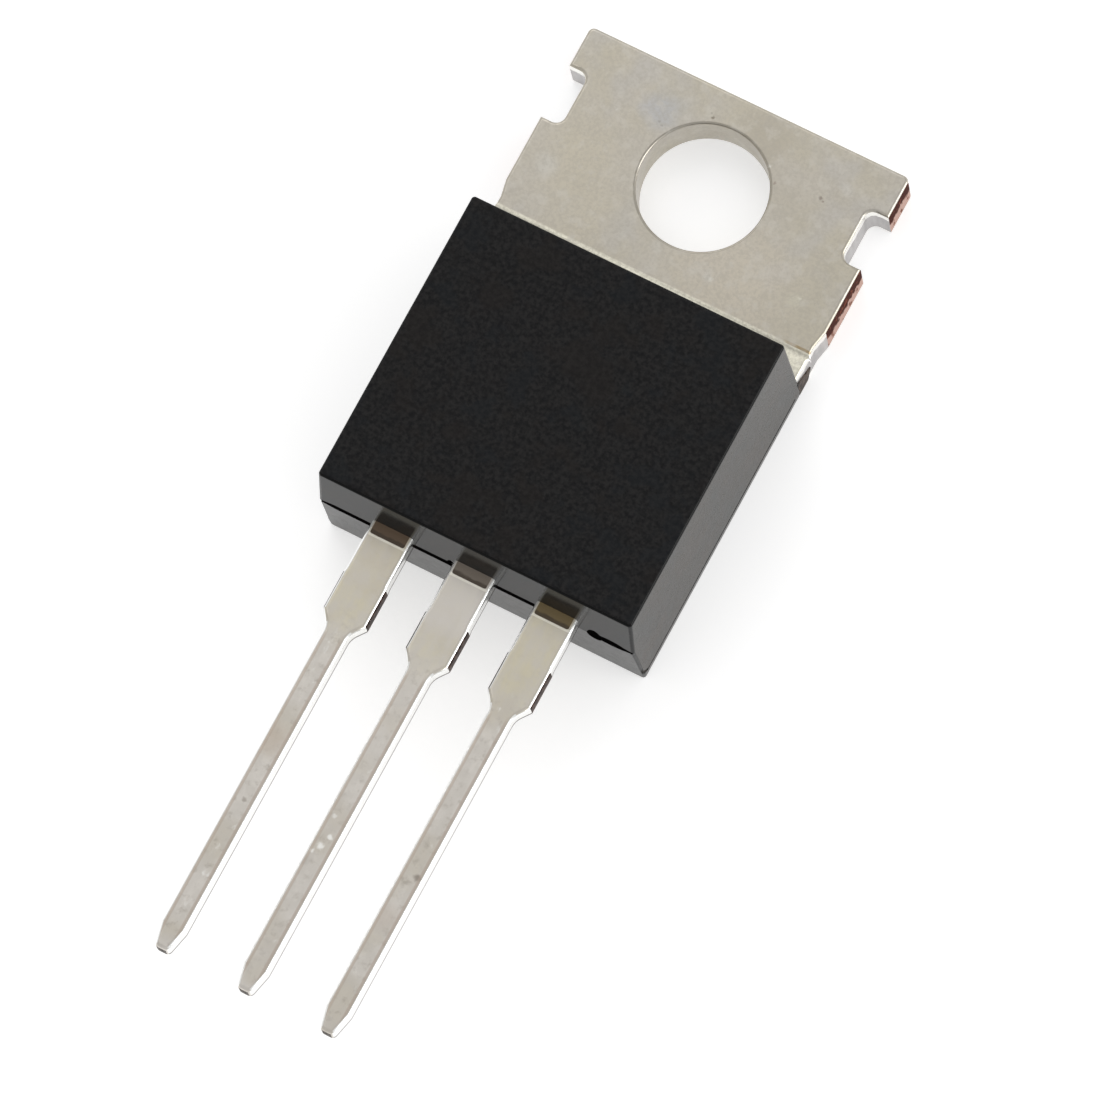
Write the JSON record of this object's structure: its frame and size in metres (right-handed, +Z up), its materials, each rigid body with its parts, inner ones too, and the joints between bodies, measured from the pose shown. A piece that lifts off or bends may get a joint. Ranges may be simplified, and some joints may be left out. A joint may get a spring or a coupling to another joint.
{
  "type": "thyristor",
  "caption": "Power thyristor for through-hole mounting: black moulded body on a plated heat tab with a screw hole and side notches, and straight flat leads.",
  "frame": {"origin": "axis of the mounting hole at the tab's back face", "axes": "+Z up through the tab to the front face, +Y to the tab's free edge with the leads along -Y, +X to the gate lead's side"},
  "size_m": [0.01, 0.0288, 0.0044],
  "materials": {
    "plated_copper": "satin tin plate on copper, bare copper where it was cut",
    "silicon": "polished silicon with a metallised top",
    "solder": "dull solder",
    "bond_wire": "bright drawn aluminium",
    "moulding_compound": "fine-grained black epoxy, a little shiny at a low angle"
  },
  "bodies": {
    "root": {"heat_tab": "plated_copper", "cathode_lead": "plated_copper", "gate_lead": "plated_copper", "thyristor_chip": "silicon", "chip_solder": "solder", "outer_cathode_wire": "bond_wire", "inner_cathode_wire": "bond_wire", "gate_wire": "bond_wire", "moulded_body": "moulding_compound"}
  },
  "joints": []
}
